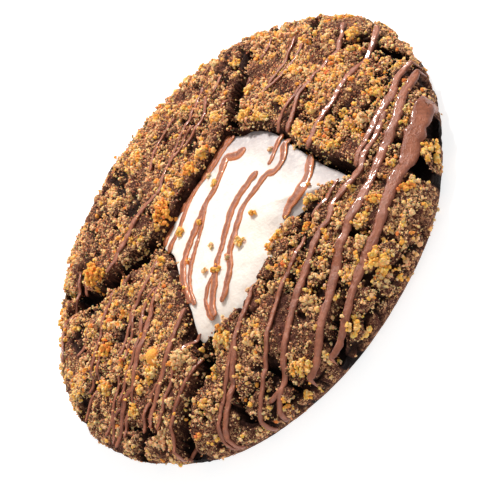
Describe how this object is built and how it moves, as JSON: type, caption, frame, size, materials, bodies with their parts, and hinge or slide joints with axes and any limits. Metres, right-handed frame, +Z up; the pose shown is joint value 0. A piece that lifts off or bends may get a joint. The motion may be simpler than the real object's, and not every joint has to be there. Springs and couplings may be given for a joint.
{
  "type": "stuffed cookie",
  "caption": "Round dark chocolate cookie, cracked open over a white marshmallow filling, with golden biscuit crumbs and strands of milk chocolate on top.",
  "frame": {"origin": "centre of the flat underside", "axes": "+Z up through the domed top, -Y towards the edge that the opening lies nearer to"},
  "size_m": [0.1108, 0.1092, 0.0196],
  "materials": {
    "chocolate_dough": "matte baked dough with a fine broken crust",
    "marshmallow": "soft satin, slightly translucent",
    "biscuit_crumb": "matte golden crumb",
    "milk_chocolate": "smooth set milk chocolate with a soft gloss"
  },
  "bodies": {
    "root": {"cookie": "chocolate_dough", "marshmallow": "marshmallow"}
  },
  "joints": []
}
